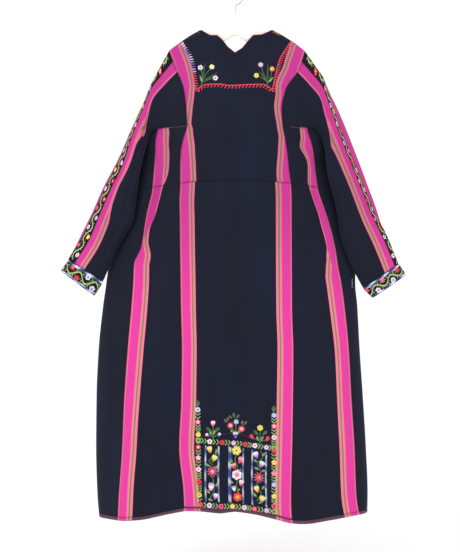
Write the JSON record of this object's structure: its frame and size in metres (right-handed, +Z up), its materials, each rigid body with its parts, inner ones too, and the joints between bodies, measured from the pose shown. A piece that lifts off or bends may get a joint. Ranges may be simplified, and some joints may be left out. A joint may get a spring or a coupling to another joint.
{
  "type": "palestinian thobe dress on a coat hanger",
  "caption": "Long navy thobe with magenta selvage stripes and floral embroidery on yoke, sleeves, cuffs and lower panel, hanging open from a plain coat hanger.",
  "frame": {"origin": "inside top of the hanger's hook, where a rod carries it", "axes": "+Z up, +X towards the right sleeve as the back is seen, -Y out of the back of the dress"},
  "size_m": [0.9715, 0.202, 1.49],
  "materials": {
    "navy_cotton": "matt plain-woven navy cotton with magenta selvage stripes",
    "black_cotton": "matt black cotton ground under satin-stitch embroidery",
    "maroon_binding": "matt maroon cotton binding",
    "lacquered_wood": "pale satin lacquer",
    "steel": "bright wire"
  },
  "bodies": {
    "root": {"back_bodice": "navy_cotton", "front_bodice": "navy_cotton", "back_side_left": "navy_cotton", "back_side_right": "navy_cotton", "front_side_left": "navy_cotton", "front_side_right": "navy_cotton", "underarm_left": "navy_cotton", "underarm_right": "navy_cotton", "back_skirt": "navy_cotton", "front_skirt": "navy_cotton", "back_gore_left": "navy_cotton", "back_gore_right": "navy_cotton", "front_gore_left": "navy_cotton", "front_gore_right": "navy_cotton", "side_gore_left": "navy_cotton", "side_gore_right": "navy_cotton", "sleeve_left": "navy_cotton", "sleeve_right": "navy_cotton", "sleeve_strip_left": "black_cotton", "sleeve_strip_right": "black_cotton", "cuff_left": "black_cotton", "cuff_right": "black_cotton", "hem_binding": "maroon_binding", "hanger_arms": "lacquered_wood", "hanger_hook": "steel"}
  },
  "joints": []
}
